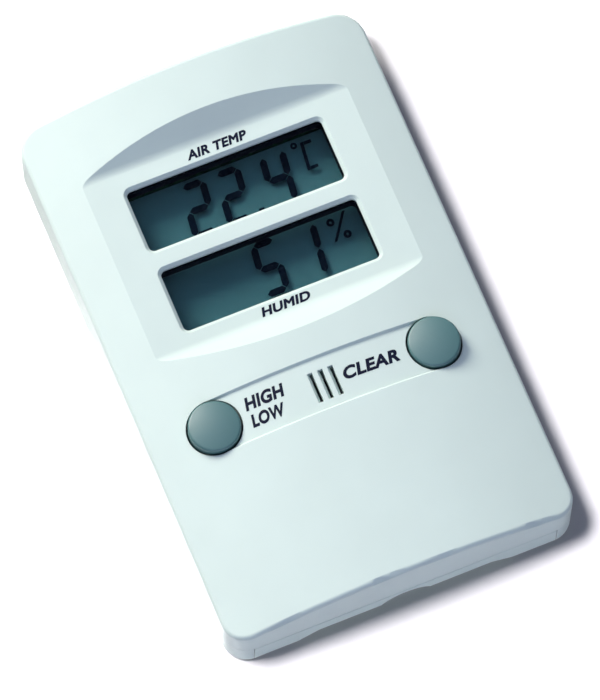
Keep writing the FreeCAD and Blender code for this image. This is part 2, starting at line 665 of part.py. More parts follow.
def degree_celsius(cy):
    """A small ring and an open bracket, to the right of the temperature."""
    x = 12.2
    thin = 0.55
    low, high = -0.5, 3.75
    width = 1.8
    shapes = [ring(x - 0.55, cy + 4.2, 0.55, 0.18), bar(0, low, thin, high + thin - low, x, cy)]
    for y in (low, high):
        shapes.append(bar(thin + 0.05, y, width - thin, thin, x, cy))
    return shapes


def percent(cy):
    """Two small rings and a slash, to the right of the humidity."""
    z = FRONT_GLASS_Z - LIQUID_T
    shapes = [ring(x, cy + y, 0.65, 0.22) for x, y in ((12.05, 3.3), (13.85, 0.55))]
    slash = [(11.4, 0), (11.9, 0), (14.95, 4.4), (14.45, 4.4)]
    shapes.append(prism([(x, cy + y, z) for x, y in slash], (0, 0, LIQUID_T)))
    return shapes


def lcd_segments():
    """The dark segments of the reading: a temperature over a relative humidity."""
    shapes = []
    for figure, x in TEMPERATURE:
        shapes += digit(figure, x, READING_1_Y)
    for figure, x in HUMIDITY:
        shapes += digit(figure, x, READING_2_Y)
    point = 0.9
    shapes.append(bar(-point / 2, -DIGIT_H / 2 + 0.25, point, point, 3.4, READING_1_Y))
    shapes += degree_celsius(READING_1_Y)
    shapes += percent(READING_2_Y)
    return Part.makeCompound(shapes)


# ---------------------------------------------------------------- electronics
def main_board():
    board = rounded_box(-BOARD_X, BOARD_X, BOARD_BOTTOM, BOARD_TOP, BOARD_Z, BOARD_FRONT, 1.5)
    return cut(board, [cylinder(x, y, BOARD_Z - CUT, BOARD_FRONT + CUT, BOARD_SCREW_R + SHANK_ROOM)
                       for x, y in BOARD_SCREWS])


def controller_chip():
    """Bare chip under a blob of black epoxy on the rear of the board."""
    x, y = -18.5, 12.0
    radius = 4.0
    height = 1.1
    sphere_r = (radius ** 2 + height ** 2) / (2 * height)
    ball = Part.makeSphere(sphere_r, V(x, y, BOARD_Z - height + sphere_r))
    return ball.common(box(x - radius, x + radius, y - radius, y + radius, BOARD_Z - 2 * height, BOARD_Z))


def clock_crystal():
    """Tuning-fork crystal in a small can lying on the board, with its two wires."""
    x, y = 15.5, 2.5
    can_r = 1.0
    can_l = 6.0
    wire_r = 0.17
    pitch = 0.8
    bend_x = x - 1.5
    z = BOARD_Z - can_r - 0.05
    can = Part.makeCylinder(can_r, can_l, V(x, y, z), V(1, 0, 0))
    can = can.makeFillet(0.25, [e for e in can.Edges if len(e.Vertexes) == 1])
    shapes = [can]
    for wire_y in (y - pitch / 2, y + pitch / 2):
        shapes.append(Part.makeCylinder(wire_r, x + CUT - bend_x, V(bend_x, wire_y, z), V(1, 0, 0)))
        shapes.append(cylinder(bend_x, wire_y, z - wire_r, BOARD_Z, wire_r))
    return fuse(shapes)


def surface_parts(places, length, width, height):
    """Small surface-mounted parts on the rear of the board, each a body with a shallow waist."""
    waist_depth = 0.06
    parts = []
    for x, y in places:
        body = box(x - length / 2, x + length / 2, y - width / 2, y + width / 2, BOARD_Z - height, BOARD_Z)
        waist = box(x - length / 4, x + length / 4, y - width, y + width,
                    BOARD_Z - height - CUT, BOARD_Z - height + waist_depth)
        parts.append(body.cut(waist))
    return Part.makeCompound(parts)


def humidity_sensor():
    """Slotted housing over the moisture-sensitive plate, straight behind the face slots."""
    half_w = SENSOR_W / 2
    half_l = SENSOR_L / 2
    top = BOARD_FRONT + SENSOR_H
    wall = 0.7
    slot_w = 0.8
    pitch = 1.5
    housing = rounded_box(-half_w, half_w, SLOT_Y - half_l, SLOT_Y + half_l, BOARD_FRONT, top, 0.6)
    chamber = box(-half_w + wall, half_w - wall, SLOT_Y - half_l + wall, SLOT_Y + half_l - wall,
                  BOARD_FRONT + wall, top - wall)
    grille = [box(x - slot_w / 2, x + slot_w / 2, SLOT_Y - half_l + 2 * wall, SLOT_Y + half_l - 2 * wall,
                  top - 2 * wall, top + CUT)
              for x in (-1.5 * pitch, -0.5 * pitch, 0.5 * pitch, 1.5 * pitch)]
    return cut(housing, [chamber] + grille)


def thermistor():
    """Bead on two leads that stand up from the board, clear of the warm chip."""
    x, y = -9.0, -14.5
    centre_z = BOARD_FRONT + 2.6
    bead = Part.makeSphere(0.9, V(x, y, centre_z))
    leads = [cylinder(x + dx, y, BOARD_FRONT, centre_z, 0.18) for dx in (-0.45, 0.45)]
    return fuse([bead] + leads)


STRIP_T = 0.2            # sheet of both battery contacts


def positive_contact():
    """Sprung strip that stands beside the cell and presses on its rim."""
    x = CELL_R + THREAD_FIT
    half = 2.5
    foot_length = 1.9
    blade = box(x, x + STRIP_T, CELL_Y - half, CELL_Y + half, 1.9, BOARD_Z)
    foot = box(x, x + foot_length, CELL_Y - half, CELL_Y + half, BOARD_Z - STRIP_T, BOARD_Z)
    return fuse([blade, foot])


def negative_contact():
    """Round spring plate between the board and the cell's small pole, with a tongue between two slits."""
    radius = 6.0
    half_slit = 0.3
    plate = cylinder(0, CELL_Y, BOARD_Z - STRIP_T, BOARD_Z, radius)
    slits = [box(1 - radius, radius - 1, y - half_slit, y + half_slit, BOARD_Z - 1, BOARD_Z + 1)
             for y in (CELL_Y - 2.2, CELL_Y + 2.2)]
    return cut(plate, slits)


def round_edge(solid, z, radius):
    """Fillet the full circles of a turned solid at one height."""
    return solid.makeFillet(radius, [e for e in solid.Edges if abs(e.CenterOfMass.z - z) < 0.01
                                     and len(e.Vertexes) == 1])


def coin_cell_can():
    can = round_edge(cylinder(0, CELL_Y, CELL_Z, CELL_Z + CELL_T - 0.45, CELL_R), CELL_Z, 0.35)
    return can.cut(cylinder(0, CELL_Y, SEAL_Z, CELL_Z + CELL_T, SEAL_R))


def coin_cell_seal():
    top = CELL_Z + CELL_T - 0.35
    hole = cylinder(0, CELL_Y, SEAL_Z - CUT, top + CUT, SEAL_R - SEAL_T)
    return cylinder(0, CELL_Y, SEAL_Z, top, SEAL_R).cut(hole)


def coin_cell_cap():
    top = CELL_Z + CELL_T
    return round_edge(cylinder(0, CELL_Y, SEAL_Z, top, SEAL_R - SEAL_T), top, 0.3)


# ---------------------------------------------------------------- export
def all_parts():
    case = case_solid()
    return {
        "front_shell": front_shell(case),
        "rear_shell": rear_shell(case),
        "table_stand": table_stand(case),
        "battery_door": battery_door(),
        "max_min_button": button_cap(-1),
        "reset_button": button_cap(1),
        "max_min_key_dome": key_dome(-1),
        "reset_key_dome": key_dome(1),
        "max_min_contact_pill": contact_pill(-1),
        "reset_contact_pill": contact_pill(1),
        "display_lens": display_lens(),
        "lcd_front_polariser": lcd_plate(LCD_Z - POLARISER_T, POLARISER_T, 1.0, 1.0),
        "lcd_front_glass": lcd_plate(FRONT_GLASS_Z, GLASS_T),
        "lcd_segments": lcd_segments(),
        "lcd_rear_glass": lcd_plate(REAR_GLASS_Z, GLASS_T, LEDGE),
        "lcd_reflector": lcd_plate(REFLECTOR_Z, REFLECTOR_T, LEDGE + 0.5, 1.0),
        "lcd_carrier": lcd_carrier(),
        "elastomer_connectors": elastomer_connectors(),
        "main_board": main_board(),
        "controller_chip": controller_chip(),
        "clock_crystal": clock_crystal(),
        "chip_resistors": surface_parts([(17, 24), (17, 21), (17, 18), (-17, 24), (-17, 21)], 2.0, 1.2, 0.5),
        "chip_capacitors": surface_parts([(21.5, 24), (21.5, 20.5), (-21.5, 22), (21.5, 17)], 2.0, 1.25, 0.9),
        "humidity_sensor": humidity_sensor(),
        "thermistor": thermistor(),
        "battery_contact_positive": positive_contact(),
        "battery_contact_negative": negative_contact(),
        "coin_cell_can": coin_cell_can(),
        "coin_cell_seal": coin_cell_seal(),
        "coin_cell_cap": coin_cell_cap(),
        "case_screws": Part.makeCompound(
            [self_tapping_screw(x, y, seat, length, SCREW_R, SCREW_HEAD_R, SCREW_HEAD_T)
             for x, y, seat, length in CASE_SCREWS]),
        "board_screws": Part.makeCompound(
            [self_tapping_screw(x, y, BOARD_Z, BOARD_SCREW_L, BOARD_SCREW_R, BOARD_HEAD_R, BOARD_HEAD_T)
             for x, y in BOARD_SCREWS]),
    }


os.makedirs("parts", exist_ok=True)
for node, shape in all_parts().items():
    problem = "" if shape.isValid() else "  NOT VALID"
    print(f"{node}: {len(shape.Solids)} solid(s), {shape.Volume:.1f} mm3{problem}")
    shape.exportStep(f"parts/{node}.step")
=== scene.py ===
import json
import math

import bpy
from mathutils import Matrix, Vector
from mathutils.bvhtree import BVHTree
from mathutils.geometry import delaunay_2d_cdt

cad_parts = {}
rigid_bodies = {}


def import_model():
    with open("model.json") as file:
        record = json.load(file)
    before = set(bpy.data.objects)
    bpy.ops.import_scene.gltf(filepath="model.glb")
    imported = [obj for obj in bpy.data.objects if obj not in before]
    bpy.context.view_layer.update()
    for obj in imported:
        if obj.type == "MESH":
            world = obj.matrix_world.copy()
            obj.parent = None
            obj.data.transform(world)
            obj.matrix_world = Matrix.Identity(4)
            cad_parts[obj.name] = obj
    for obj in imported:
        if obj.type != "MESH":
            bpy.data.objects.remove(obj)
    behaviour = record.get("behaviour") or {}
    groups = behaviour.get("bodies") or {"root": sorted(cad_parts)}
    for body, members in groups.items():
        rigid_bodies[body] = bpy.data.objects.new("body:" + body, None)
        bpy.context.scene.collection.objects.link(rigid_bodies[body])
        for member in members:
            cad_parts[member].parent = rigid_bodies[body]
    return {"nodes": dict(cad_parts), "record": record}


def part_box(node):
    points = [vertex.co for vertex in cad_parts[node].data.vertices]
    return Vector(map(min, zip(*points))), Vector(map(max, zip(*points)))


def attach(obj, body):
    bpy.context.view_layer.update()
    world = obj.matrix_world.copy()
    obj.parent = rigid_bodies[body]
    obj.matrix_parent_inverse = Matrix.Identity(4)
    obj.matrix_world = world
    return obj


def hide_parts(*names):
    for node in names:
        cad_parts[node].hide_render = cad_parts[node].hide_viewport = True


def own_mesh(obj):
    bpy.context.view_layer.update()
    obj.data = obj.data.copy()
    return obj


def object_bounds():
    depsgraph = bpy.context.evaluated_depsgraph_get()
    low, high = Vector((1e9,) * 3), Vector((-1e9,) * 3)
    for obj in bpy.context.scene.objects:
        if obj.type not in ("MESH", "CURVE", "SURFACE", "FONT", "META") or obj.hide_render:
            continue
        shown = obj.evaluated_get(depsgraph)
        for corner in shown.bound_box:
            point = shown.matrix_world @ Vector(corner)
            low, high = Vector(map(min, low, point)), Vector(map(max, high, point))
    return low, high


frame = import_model()
cad_low, cad_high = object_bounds()

# The looks of a digital maximum-minimum thermo-hygrometer lying on its back on a pale floor.
# X runs across the face, Y from the bottom end to the top end and Z out of the face, in metres.

MM = 0.001

# ---------------------------------------------------------------- driving values
VIEW_TILT = math.radians(21.06)      # the camera leans this far off the face's normal, to the bottom end
VIEW_TURN = math.radians(22.25)      # how far the instrument is turned anticlockwise in the picture
VIEW_DISTANCE = 1000 * MM
VIEW_LENS = 328.2                    # millimetres
VIEW_SENSOR = 36                     # millimetres
VIEW_FACE_POINT = (0.0, 23.62 * MM)  # the camera leans about this point of the display facet
VIEW_AIM = (-1.2 * MM, -5.4 * MM)    # and looks at this one

CREASE = math.radians(12)            # where two CAD faces meet at less than this, they share one normal
WELD = 0.001 * MM                    # vertices of neighbouring CAD faces closer than this are twins
TERMINATOR = 0.6                     # softens the shadow's edge on a rounded shape's flat facets

INK_RISE = 0.03 * MM                 # thickness of the printed legends
INK_BOLD = 0.062                     # how much a stroke gains on each side, over the capitals' height
LEGENDS = {
    # name: (text, left end x, right end x, baseline y, height of the capitals), in millimetres
    "legend_temperature": ("AIR TEMP", -5.4, 4.8, 30.33, 1.6),
    "legend_humidity": ("HUMID", -4.5, 3.8, 1.75, 1.55),
    "legend_high": ("HIGH", -12.9, -6.2, -12.1, 2.15),
    "legend_low": ("LOW", -12.9, -7.2, -15.0, 2.13),
    "legend_clear": ("CLEAR", 3.1, 12.4, -13.35, 2.08),
}
LEGEND_SLANT = math.tan(math.radians(12.5))
LEGEND_SPACING = 1.06                # letter spacing, over the typeface's own
MITRE_LIMIT = 0.6                    # the smaller, the further a thickened sharp corner may reach

ROOM_LIGHT = (0.06, 0.18)            # blue room light from beyond the bottom end, and beyond the top end
FLOOR_HALF = 1500 * MM
FLOOR_GAP = 0.05 * MM                # the floor stays this far under the lowest point
FLOOR_BOUNCE = 0.15                  # how much light the floor throws back at the instrument
LIGHTS = {
    # name: (azimuth and elevation in degrees, distance and size in metres, watts, colour)
    "key": (116, 36, 1.1, 0.5, 15.8, (1.0, 0.95, 0.86)),
    "overhead": (100, 72, 0.9, 1.0, 3.3, (0.66, 0.71, 0.90)),
    "front": (262, 24, 0.9, 0.9, 2.8, (0.67, 0.74, 1.05)),
    "under_glow": (90, -84, 0.8, 0.4, 5.0, (0.97, 0.98, 1.0)),
    "floor_wash": (163, 72, 0.75, 0.16, 17.8, (1.0, 0.96, 0.99)),
}

CHIP_LENGTH = 2.0 * MM               # of every resistor and capacitor
KEY_DOMES = {"max_min_key_dome": "max_min_press", "reset_key_dome": "reset_press"}
DOME_SEGMENTS = 72
DOME_WALL = 0.8 * MM
DOME_PAD = 0.61                      # radius of a dome's top pad, over the skirt's
DOME_ROOF = 0.42                     # height of the hollow under the pad, over the dome's
DOME_BORE = 0.2 * MM                 # radius of the air hole through the pad
DOME_SKIRT = 0.7 * MM                # thickness of the skirt
DOME_LEDGE = 0.5 * MM                # width of the skirt beyond the cone
DOME_RIM = 1.1 * MM                  # width of the skirt's foot
DOME_SHOULDER = 2.3 * MM             # height at which the cone meets the pad
BOARD_PITCH = 3.2 * MM               # spacing of the circuit board's tracks and pads


# ---------------------------------------------------------------- shader helpers
def new_material(name):
    material = bpy.data.materials.new(name)
    material.use_nodes = True
    tree = material.node_tree
    shader = next(n for n in tree.nodes if n.type == "BSDF_PRINCIPLED")
    return material, tree, shader


def node(tree, kind, inputs=None, **settings):
    """A new shader node; an input is either a value or another node's output."""
    made = tree.nodes.new(kind)
    for key, value in settings.items():
        setattr(made, key, value)
    set_inputs(tree, made, inputs or {})
    return made


def set_inputs(tree, shader, values):
    for key, value in values.items():
        if isinstance(value, bpy.types.NodeSocket):
            tree.links.new(value, shader.inputs[key])
        else:
            shader.inputs[key].default_value = value


def place(tree, stretch=(1, 1, 1)):
    """Position in the row frame, stretched before a texture reads it."""
    where = node(tree, "ShaderNodeTexCoord").outputs["Object"]
    return node(tree, "ShaderNodeMapping", {"Vector": where, "Scale": stretch}).outputs["Vector"]


def grain(tree, size, detail=2.0, stretch=(1, 1, 1)):
    """Noise between 0 and 1 whose lumps are about size across."""
    inputs = {"Vector": place(tree, stretch), "Scale": 1 / size, "Detail": detail}
    return node(tree, "ShaderNodeTexNoise", inputs).outputs["Fac"]


def spread(tree, value, low, high, from_low=0.3, from_high=0.7):
    """The value carried from one range to another, and kept inside it."""
    inputs = {"Value": value, "From Min": from_low, "From Max": from_high, "To Min": low, "To Max": high}
    return node(tree, "ShaderNodeMapRange", inputs).outputs["Result"]


def calculate(tree, operation, first, second=0.0):
    return node(tree, "ShaderNodeMath", {0: first, 1: second}, operation=operation).outputs[0]


def blend_colours(tree, share, first, second):
    """A mix of two colours, each a triple or another node's output."""
    made = node(tree, "ShaderNodeMix", data_type="RGBA")
    ends = [end if isinstance(end, bpy.types.NodeSocket) else (*end, 1) for end in (first, second)]
    set_inputs(tree, made, {0: share, 6: ends[0], 7: ends[1]})
    return made.outputs[2]


def rounded_normal(tree, radius):
    """Catches light along sharp edges, as a real moulding's small edge radius does."""
    return node(tree, "ShaderNodeBevel", {"Radius": radius}, samples=6).outputs["Normal"]


def bump(tree, height, depth, normal=None):
    inputs = {"Height": height, "Distance": depth, "Strength": 1.0}
    if normal is not None:
        inputs["Normal"] = normal
    return node(tree, "ShaderNodeBump", inputs).outputs["Normal"]


def scaled(colour, factor):
    return tuple(c * factor for c in colour)


# ---------------------------------------------------------------- materials
def moulded_plastic(name, colour, roughness, edge, texture_depth=0.004 * MM, soft=0.0, shine=0.3,
                    index=1.5):
    """Satin injection-moulded plastic: a spark-eroded skin, faint flow clouds and painted shade that darkens
    the gaps.
    """
    material, tree, shader = new_material(name)
    cloud = spread(tree, grain(tree, 14 * MM, 3), 0.0, 1.0)
    tint = blend_colours(tree, cloud, scaled(colour, 0.975), scaled(colour, 1.015))
    # painted shade: the ambient-occlusion node darkens the colour down to 0.72 where other surfaces lie
    # within 0.7 mm, in gaps and creases
    gap = node(tree, "ShaderNodeAmbientOcclusion", {"Distance": 0.7 * MM}, samples=6).outputs["AO"]
    gap_shade = spread(tree, gap, 0.72, 1.0, 0.15, 0.75)
    gap_shaded_tint = node(tree, "ShaderNodeMix", data_type="RGBA", blend_type="MULTIPLY")
    grey = node(tree, "ShaderNodeCombineColor", {"Red": gap_shade, "Green": gap_shade, "Blue": gap_shade}).outputs[0]
    set_inputs(tree, gap_shaded_tint, {0: 1.0, 6: tint, 7: grey})
    rough = spread(tree, grain(tree, 1.8 * MM, 4), roughness - 0.04, roughness + 0.05)
    skin = grain(tree, 0.16 * MM, 3)
    normal = bump(tree, skin, texture_depth, rounded_normal(tree, edge))
    scatter = (0.9 * MM, 1.0 * MM, 1.1 * MM)
    set_inputs(tree, shader, {"Base Color": gap_shaded_tint.outputs[2], "Roughness": rough, "Normal": normal,
                              "Subsurface Weight": soft, "Subsurface Radius": scatter,
                              "Subsurface Scale": 1.0, "Specular IOR Level": shine, "IOR": index})
    return material


def rubber(name, colour, roughness, soft=0.0):
    """Moulded rubber with a fine tooth and paler bloom."""
    material, tree, shader = new_material(name)
    bloom = spread(tree, grain(tree, 0.6 * MM, 4), 0.0, 1.0)
    tint = blend_colours(tree, bloom, scaled(colour, 0.88), scaled(colour, 1.1))
    normal = bump(tree, grain(tree, 0.12 * MM, 3), 0.006 * MM, rounded_normal(tree, 0.1 * MM))
    set_inputs(tree, shader, {"Base Color": tint, "Roughness": roughness, "Normal": normal,
                              "Subsurface Weight": soft, "Subsurface Radius": (0.8 * MM,) * 3,
                              "Subsurface Scale": 1.0})
    return material


def clear_sheet(name, tint, shine):
    """A thin clear sheet: light passes straight through, with a faint glint and hairline marks."""
    material, tree, shader = new_material(name)
    output = next(n for n in tree.nodes if n.type == "OUTPUT_MATERIAL")
    tree.nodes.remove(shader)
    marks = spread(tree, grain(tree, 0.5 * MM, 5, (1, 8, 1)), 0.03, 0.10, 0.55, 0.75)
    through = node(tree, "ShaderNodeBsdfTransparent", {"Color": (*tint, 1)})
    glint = node(tree, "ShaderNodeBsdfGlossy", {"Color": (1, 1, 1, 1), "Roughness": marks})
    edge_on = node(tree, "ShaderNodeFresnel", {"IOR": 1.49}).outputs["Fac"]
    share = calculate(tree, "MULTIPLY", edge_on, shine)
    mix = node(tree, "ShaderNodeMixShader", {0: share, 1: through.outputs[0], 2: glint.outputs[0]})
    tree.links.new(mix.outputs[0], output.inputs["Surface"])
    return material


def reflector_film():
    """The display's grey-green backing, with the fine sparkle of metal flakes under the glass."""
    material, tree, shader = new_material("reflector_film")
    flakes = spread(tree, grain(tree, 0.09 * MM, 2), 0.0, 1.0)
    cloud = spread(tree, grain(tree, 3 * MM, 3), 0.0, 1.0)
    base = (0.415, 0.575, 0.565)
    fine = blend_colours(tree, flakes, scaled(base, 0.86), scaled(base, 1.12))
    tint = blend_colours(tree, calculate(tree, "MULTIPLY", cloud, 0.35), fine, scaled(base, 1.08))
    set_inputs(tree, shader, {"Base Color": tint, "Roughness": 0.6, "Specular IOR Level": 0.1,
                              "Normal": bump(tree, flakes, 0.004 * MM)})
    return material


def display_segment():
    """Switched liquid crystal: blue-black, a little uneven in random patches."""
    material, tree, shader = new_material("display_segment")
    patch = spread(tree, grain(tree, 0.7 * MM, 3), 0.0, 1.0)
    tint = blend_colours(tree, patch, (0.002, 0.006, 0.020), (0.006, 0.013, 0.036))
    set_inputs(tree, shader, {"Base Color": tint, "Roughness": 0.5, "Specular IOR Level": 0.1})
    return material


def printed_ink():
    """Pad-printed navy ink with a slightly broken film."""
    material, tree, shader = new_material("printed_ink")
    film = spread(tree, grain(tree, 0.12 * MM, 4), 0.0, 1.0, 0.35, 0.75)
    tint = blend_colours(tree, film, (0.003, 0.005, 0.018), (0.008, 0.012, 0.038))
    set_inputs(tree, shader, {"Base Color": tint, "Roughness": spread(tree, film, 0.35, 0.6),
                              "Specular IOR Level": 0.15, "Normal": bump(tree, film, 0.003 * MM)})
    return material


def layered_elastomer():
    """Thin conducting and insulating layers stacked along X."""
    material, tree, shader = new_material("layered_elastomer")
    where = node(tree, "ShaderNodeSeparateXYZ", {0: place(tree)}).outputs["X"]
    layer = calculate(tree, "SINE", calculate(tree, "MULTIPLY", where, math.tau / (0.25 * MM)))
    stripe = spread(tree, layer, 0.0, 1.0, -0.2, 0.2)
    tint = blend_colours(tree, stripe, (0.04, 0.04, 0.045), (0.62, 0.60, 0.62))
    set_inputs(tree, shader, {"Base Color": tint, "Roughness": 0.7, "Normal": bump(tree, stripe, 0.01 * MM)})
    return material


def circuit_board():
    """Green solder mask over copper tracks, with tinned pads."""
    material, tree, shader = new_material("circuit_board")
    tracks = node(tree, "ShaderNodeTexVoronoi", {"Vector": place(tree), "Scale": 1 / BOARD_PITCH},
                  feature="DISTANCE_TO_EDGE", distance="EUCLIDEAN").outputs["Distance"]
    pads = node(tree, "ShaderNodeTexVoronoi", {"Vector": place(tree), "Scale": 1 / BOARD_PITCH},
                feature="F1").outputs["Distance"]
    on_track = spread(tree, tracks, 1.0, 0.0, 0.06, 0.09)
    on_pad = spread(tree, pads, 1.0, 0.0, 0.14, 0.16)
    mask = blend_colours(tree, on_track, (0.012, 0.11, 0.045), (0.03, 0.22, 0.08))
    tint = blend_colours(tree, on_pad, mask, (0.62, 0.60, 0.56))
    height = calculate(tree, "MAXIMUM", on_track, on_pad)
    weave = bump(tree, grain(tree, 0.3 * MM, 2), 0.004 * MM)
    set_inputs(tree, shader, {"Base Color": tint, "Metallic": on_pad, "Roughness": 0.35,
                              "Normal": bump(tree, height, 0.03 * MM, weave)})
    return material


def black_epoxy(name, colour):
    """Poured epoxy: glossy, with the slow ripples it sets with."""
    material, tree, shader = new_material(name)
    ripple = grain(tree, 2.5 * MM, 2)
    patch = spread(tree, grain(tree, 0.8 * MM, 4), 0.0, 1.0)
    tint = blend_colours(tree, patch, scaled(colour, 0.8), scaled(colour, 1.3))
    set_inputs(tree, shader, {"Base Color": tint, "Roughness": spread(tree, ripple, 0.12, 0.3),
                              "Normal": bump(tree, ripple, 0.12 * MM)})
    return material


def metal(name, colour, roughness, streak=(1, 1, 1)):
    """Plated or brushed metal: streaks along one way, with handling marks."""
    material, tree, shader = new_material(name)
    lines = grain(tree, 0.15 * MM, 4, streak)
    marks = spread(tree, grain(tree, 2.2 * MM, 4), 0.0, 1.0, 0.4, 0.7)
    tint = blend_colours(tree, marks, colour, scaled(colour, 0.86))
    rough = calculate(tree, "ADD", spread(tree, lines, roughness - 0.06, roughness + 0.1),
                      calculate(tree, "MULTIPLY", marks, 0.08))
    set_inputs(tree, shader, {"Base Color": tint, "Metallic": 1.0, "Roughness": rough,
                              "Normal": bump(tree, lines, 0.004 * MM, rounded_normal(tree, 0.08 * MM))})
    return material


def end_capped(name, body_colour, parts_box, length):
    """A small surface-mounted part: a ceramic body with a tinned cap at each end along X."""
    material, tree, shader = new_material(name)
    centre = parts_box[1].x - length / 2
    x = node(tree, "ShaderNodeSeparateXYZ", {0: place(tree)}).outputs["X"]
    outward = calculate(tree, "SUBTRACT", calculate(tree, "ABSOLUTE", x), centre)
    off_centre = calculate(tree, "ABSOLUTE", outward)
    on_cap = calculate(tree, "GREATER_THAN", off_centre, length / 4)
    speckle = spread(tree, grain(tree, 0.15 * MM, 3), 0.0, 1.0)
    body = blend_colours(tree, speckle, scaled(body_colour, 0.85), scaled(body_colour, 1.15))
    tint = blend_colours(tree, on_cap, body, (0.70, 0.69, 0.66))
    set_inputs(tree, shader, {"Base Color": tint, "Metallic": on_cap, "Roughness": 0.42,
                              "Normal": bump(tree, speckle, 0.004 * MM, rounded_normal(tree, 0.06 * MM))})
    return material


def floor_material():
    """Matt pale studio board with a barely visible tooth, lit brightly enough to look white.

    It can be looked through from underneath, and it throws back less light than it shows the camera.
    """
    material, tree, shader = new_material("studio_board")
    output = next(n for n in tree.nodes if n.type == "OUTPUT_MATERIAL")
    cloud = spread(tree, grain(tree, 60 * MM, 2), 0.0, 1.0)
    pale = blend_colours(tree, cloud, (0.355, 0.355, 0.36), (0.37, 0.37, 0.375))
    seen = node(tree, "ShaderNodeLightPath").outputs["Is Camera Ray"]
    tint = blend_colours(tree, seen, (FLOOR_BOUNCE,) * 3, pale)
    set_inputs(tree, shader, {"Base Color": tint, "Roughness": 0.9, "Specular IOR Level": 0.1,
                              "Normal": bump(tree, grain(tree, 0.5 * MM, 3), 0.01 * MM)})
    below = node(tree, "ShaderNodeNewGeometry").outputs["Backfacing"]
    clear = node(tree, "ShaderNodeBsdfTransparent").outputs[0]
    mix = node(tree, "ShaderNodeMixShader", {0: below, 1: shader.outputs[0], 2: clear})
    tree.links.new(mix.outputs[0], output.inputs["Surface"])
    return material


def make_materials():
    """One material for each of the record's slots."""
    case_white = (0.66, 0.79, 0.75)
    return {
        "case_plastic": moulded_plastic("case_plastic", case_white, 0.42, 0.12 * MM, soft=0.12),
        "button_plastic": moulded_plastic("button_plastic", (0.050, 0.164, 0.168), 0.50, 0.1 * MM,
                                          0.003 * MM, shine=0.85, index=1.65),
        "silicone": rubber("silicone", (0.62, 0.66, 0.64), 0.5, 0.5),
        "carbon_rubber": rubber("carbon_rubber", (0.02, 0.02, 0.022), 0.75),
        "clear_acrylic": clear_sheet("clear_acrylic", (0.97, 0.99, 0.99), 0.05),
        "polariser_film": clear_sheet("polariser_film", (0.60, 0.72, 0.76), 0.008),
        "display_glass": clear_sheet("display_glass", (0.98, 0.99, 0.985), 0.008),
        "segment_dark": display_segment(),
        "reflector_film": reflector_film(),
        "carrier_plastic": moulded_plastic("carrier_plastic", (0.004, 0.006, 0.012), 0.6, 0.1 * MM,
                                           shine=0.08),
        "layered_elastomer": layered_elastomer(),
        "circuit_board": circuit_board(),
        "black_epoxy": black_epoxy("black_epoxy", (0.012, 0.012, 0.014)),
        "tinned_steel": metal("tinned_steel", (0.72, 0.73, 0.75), 0.25, (0.1, 1, 1)),
        "resistor_black": end_capped("resistor_black", (0.015, 0.015, 0.018),
                                     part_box("chip_resistors"), CHIP_LENGTH),
        "capacitor_tan": end_capped("capacitor_tan", (0.36, 0.25, 0.13),
                                    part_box("chip_capacitors"), CHIP_LENGTH),
        "sensor_housing": moulded_plastic("sensor_housing", (0.66, 0.71, 0.75), 0.45, 0.1 * MM),
        "bead_epoxy": black_epoxy("bead_epoxy", (0.03, 0.022, 0.016)),
        "nickel_spring": metal("nickel_spring", (0.66, 0.63, 0.56), 0.28, (1, 0.08, 1)),
        "stainless_steel": metal("stainless_steel", (0.62, 0.62, 0.61), 0.3, (0.15, 1, 1)),
        "seal_plastic": moulded_plastic("seal_plastic", (0.05, 0.07, 0.2), 0.45, 0.05 * MM),
        "screw_steel": metal("screw_steel", (0.58, 0.60, 0.63), 0.3),
    }


def paint_frame(materials):
    """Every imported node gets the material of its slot."""
    for part in frame["record"]["subparts"]:
        mesh = frame["nodes"][part["node"]].data
        mesh.materials.clear()
        mesh.materials.append(materials[part["material_slot"]])


def shade_smoothly(part):
    """Share the normals of faces that run into each other, so that fillets blend into their neighbours.

    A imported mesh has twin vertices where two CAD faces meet, and each twin belongs to one of them. Large
    polygons count for more, so that the slivers along a seam don't bend the light.
    """
    mesh = part.data
    sums = [Vector() for _ in mesh.vertices]
    for polygon in mesh.polygons:
        for vertex in polygon.vertices:
            sums[vertex] += polygon.normal * polygon.area
    twins = {}
    for vertex in mesh.vertices:
        twins.setdefault(tuple(round(c / WELD) for c in vertex.co), []).append(vertex.index)
    shared = [total.normalized() for total in sums]
    limit = math.cos(CREASE)
    for group in twins.values():
        own = {vertex: sums[vertex].normalized() for vertex in group}
        for vertex in group:
            near = [other for other in group if own[other].dot(own[vertex]) > limit]
            shared[vertex] = sum((sums[other] for other in near), Vector()).normalized()
    mesh.normals_split_custom_set_from_vertices(shared)
    part.cycles.shadow_terminator_geometry_offset = TERMINATOR


# ---------------------------------------------------------------- legends
def surface_of(node_name):
    """A function that finds the height of a node's upper surface at a point of its plan."""
    mesh = frame["nodes"][node_name].data
    tree = BVHTree.FromPolygons([v.co for v in mesh.vertices], [p.vertices for p in mesh.polygons])
    above = cad_high.z + 10 * MM

    def height(x, y):
        return tree.ray_cast(Vector((x, y, above)), Vector((0, 0, -1)))[0].z

    return height


def text_outlines(text):
    """The closed outlines of a line of text, as lists of plan points, with the type's own direction."""
    curve = bpy.data.curves.new(text, "FONT")
    curve.body = text
    curve.align_x = "CENTER"
    curve.resolution_u = 6
    curve.fill_mode = "NONE"
    curve.space_character = LEGEND_SPACING
    source = bpy.data.objects.new(text, curve)
    bpy.context.scene.collection.objects.link(source)
    bpy.context.view_layer.update()
    mesh = bpy.data.meshes.new_from_object(source)
    bpy.data.objects.remove(source)
    linked = {tuple(sorted(edge.vertices)) for edge in mesh.edges}
    outlines = []
    loop = []
    for i, vertex in enumerate(mesh.vertices):
        loop.append(vertex.co.xy)
        if (i, i + 1) not in linked:
            outlines.append(loop)
            loop = []
    return outlines


def signed_area(loop):
    return sum(a.cross(b) for a, b in zip(loop, loop[1:] + loop[:1])) / 2


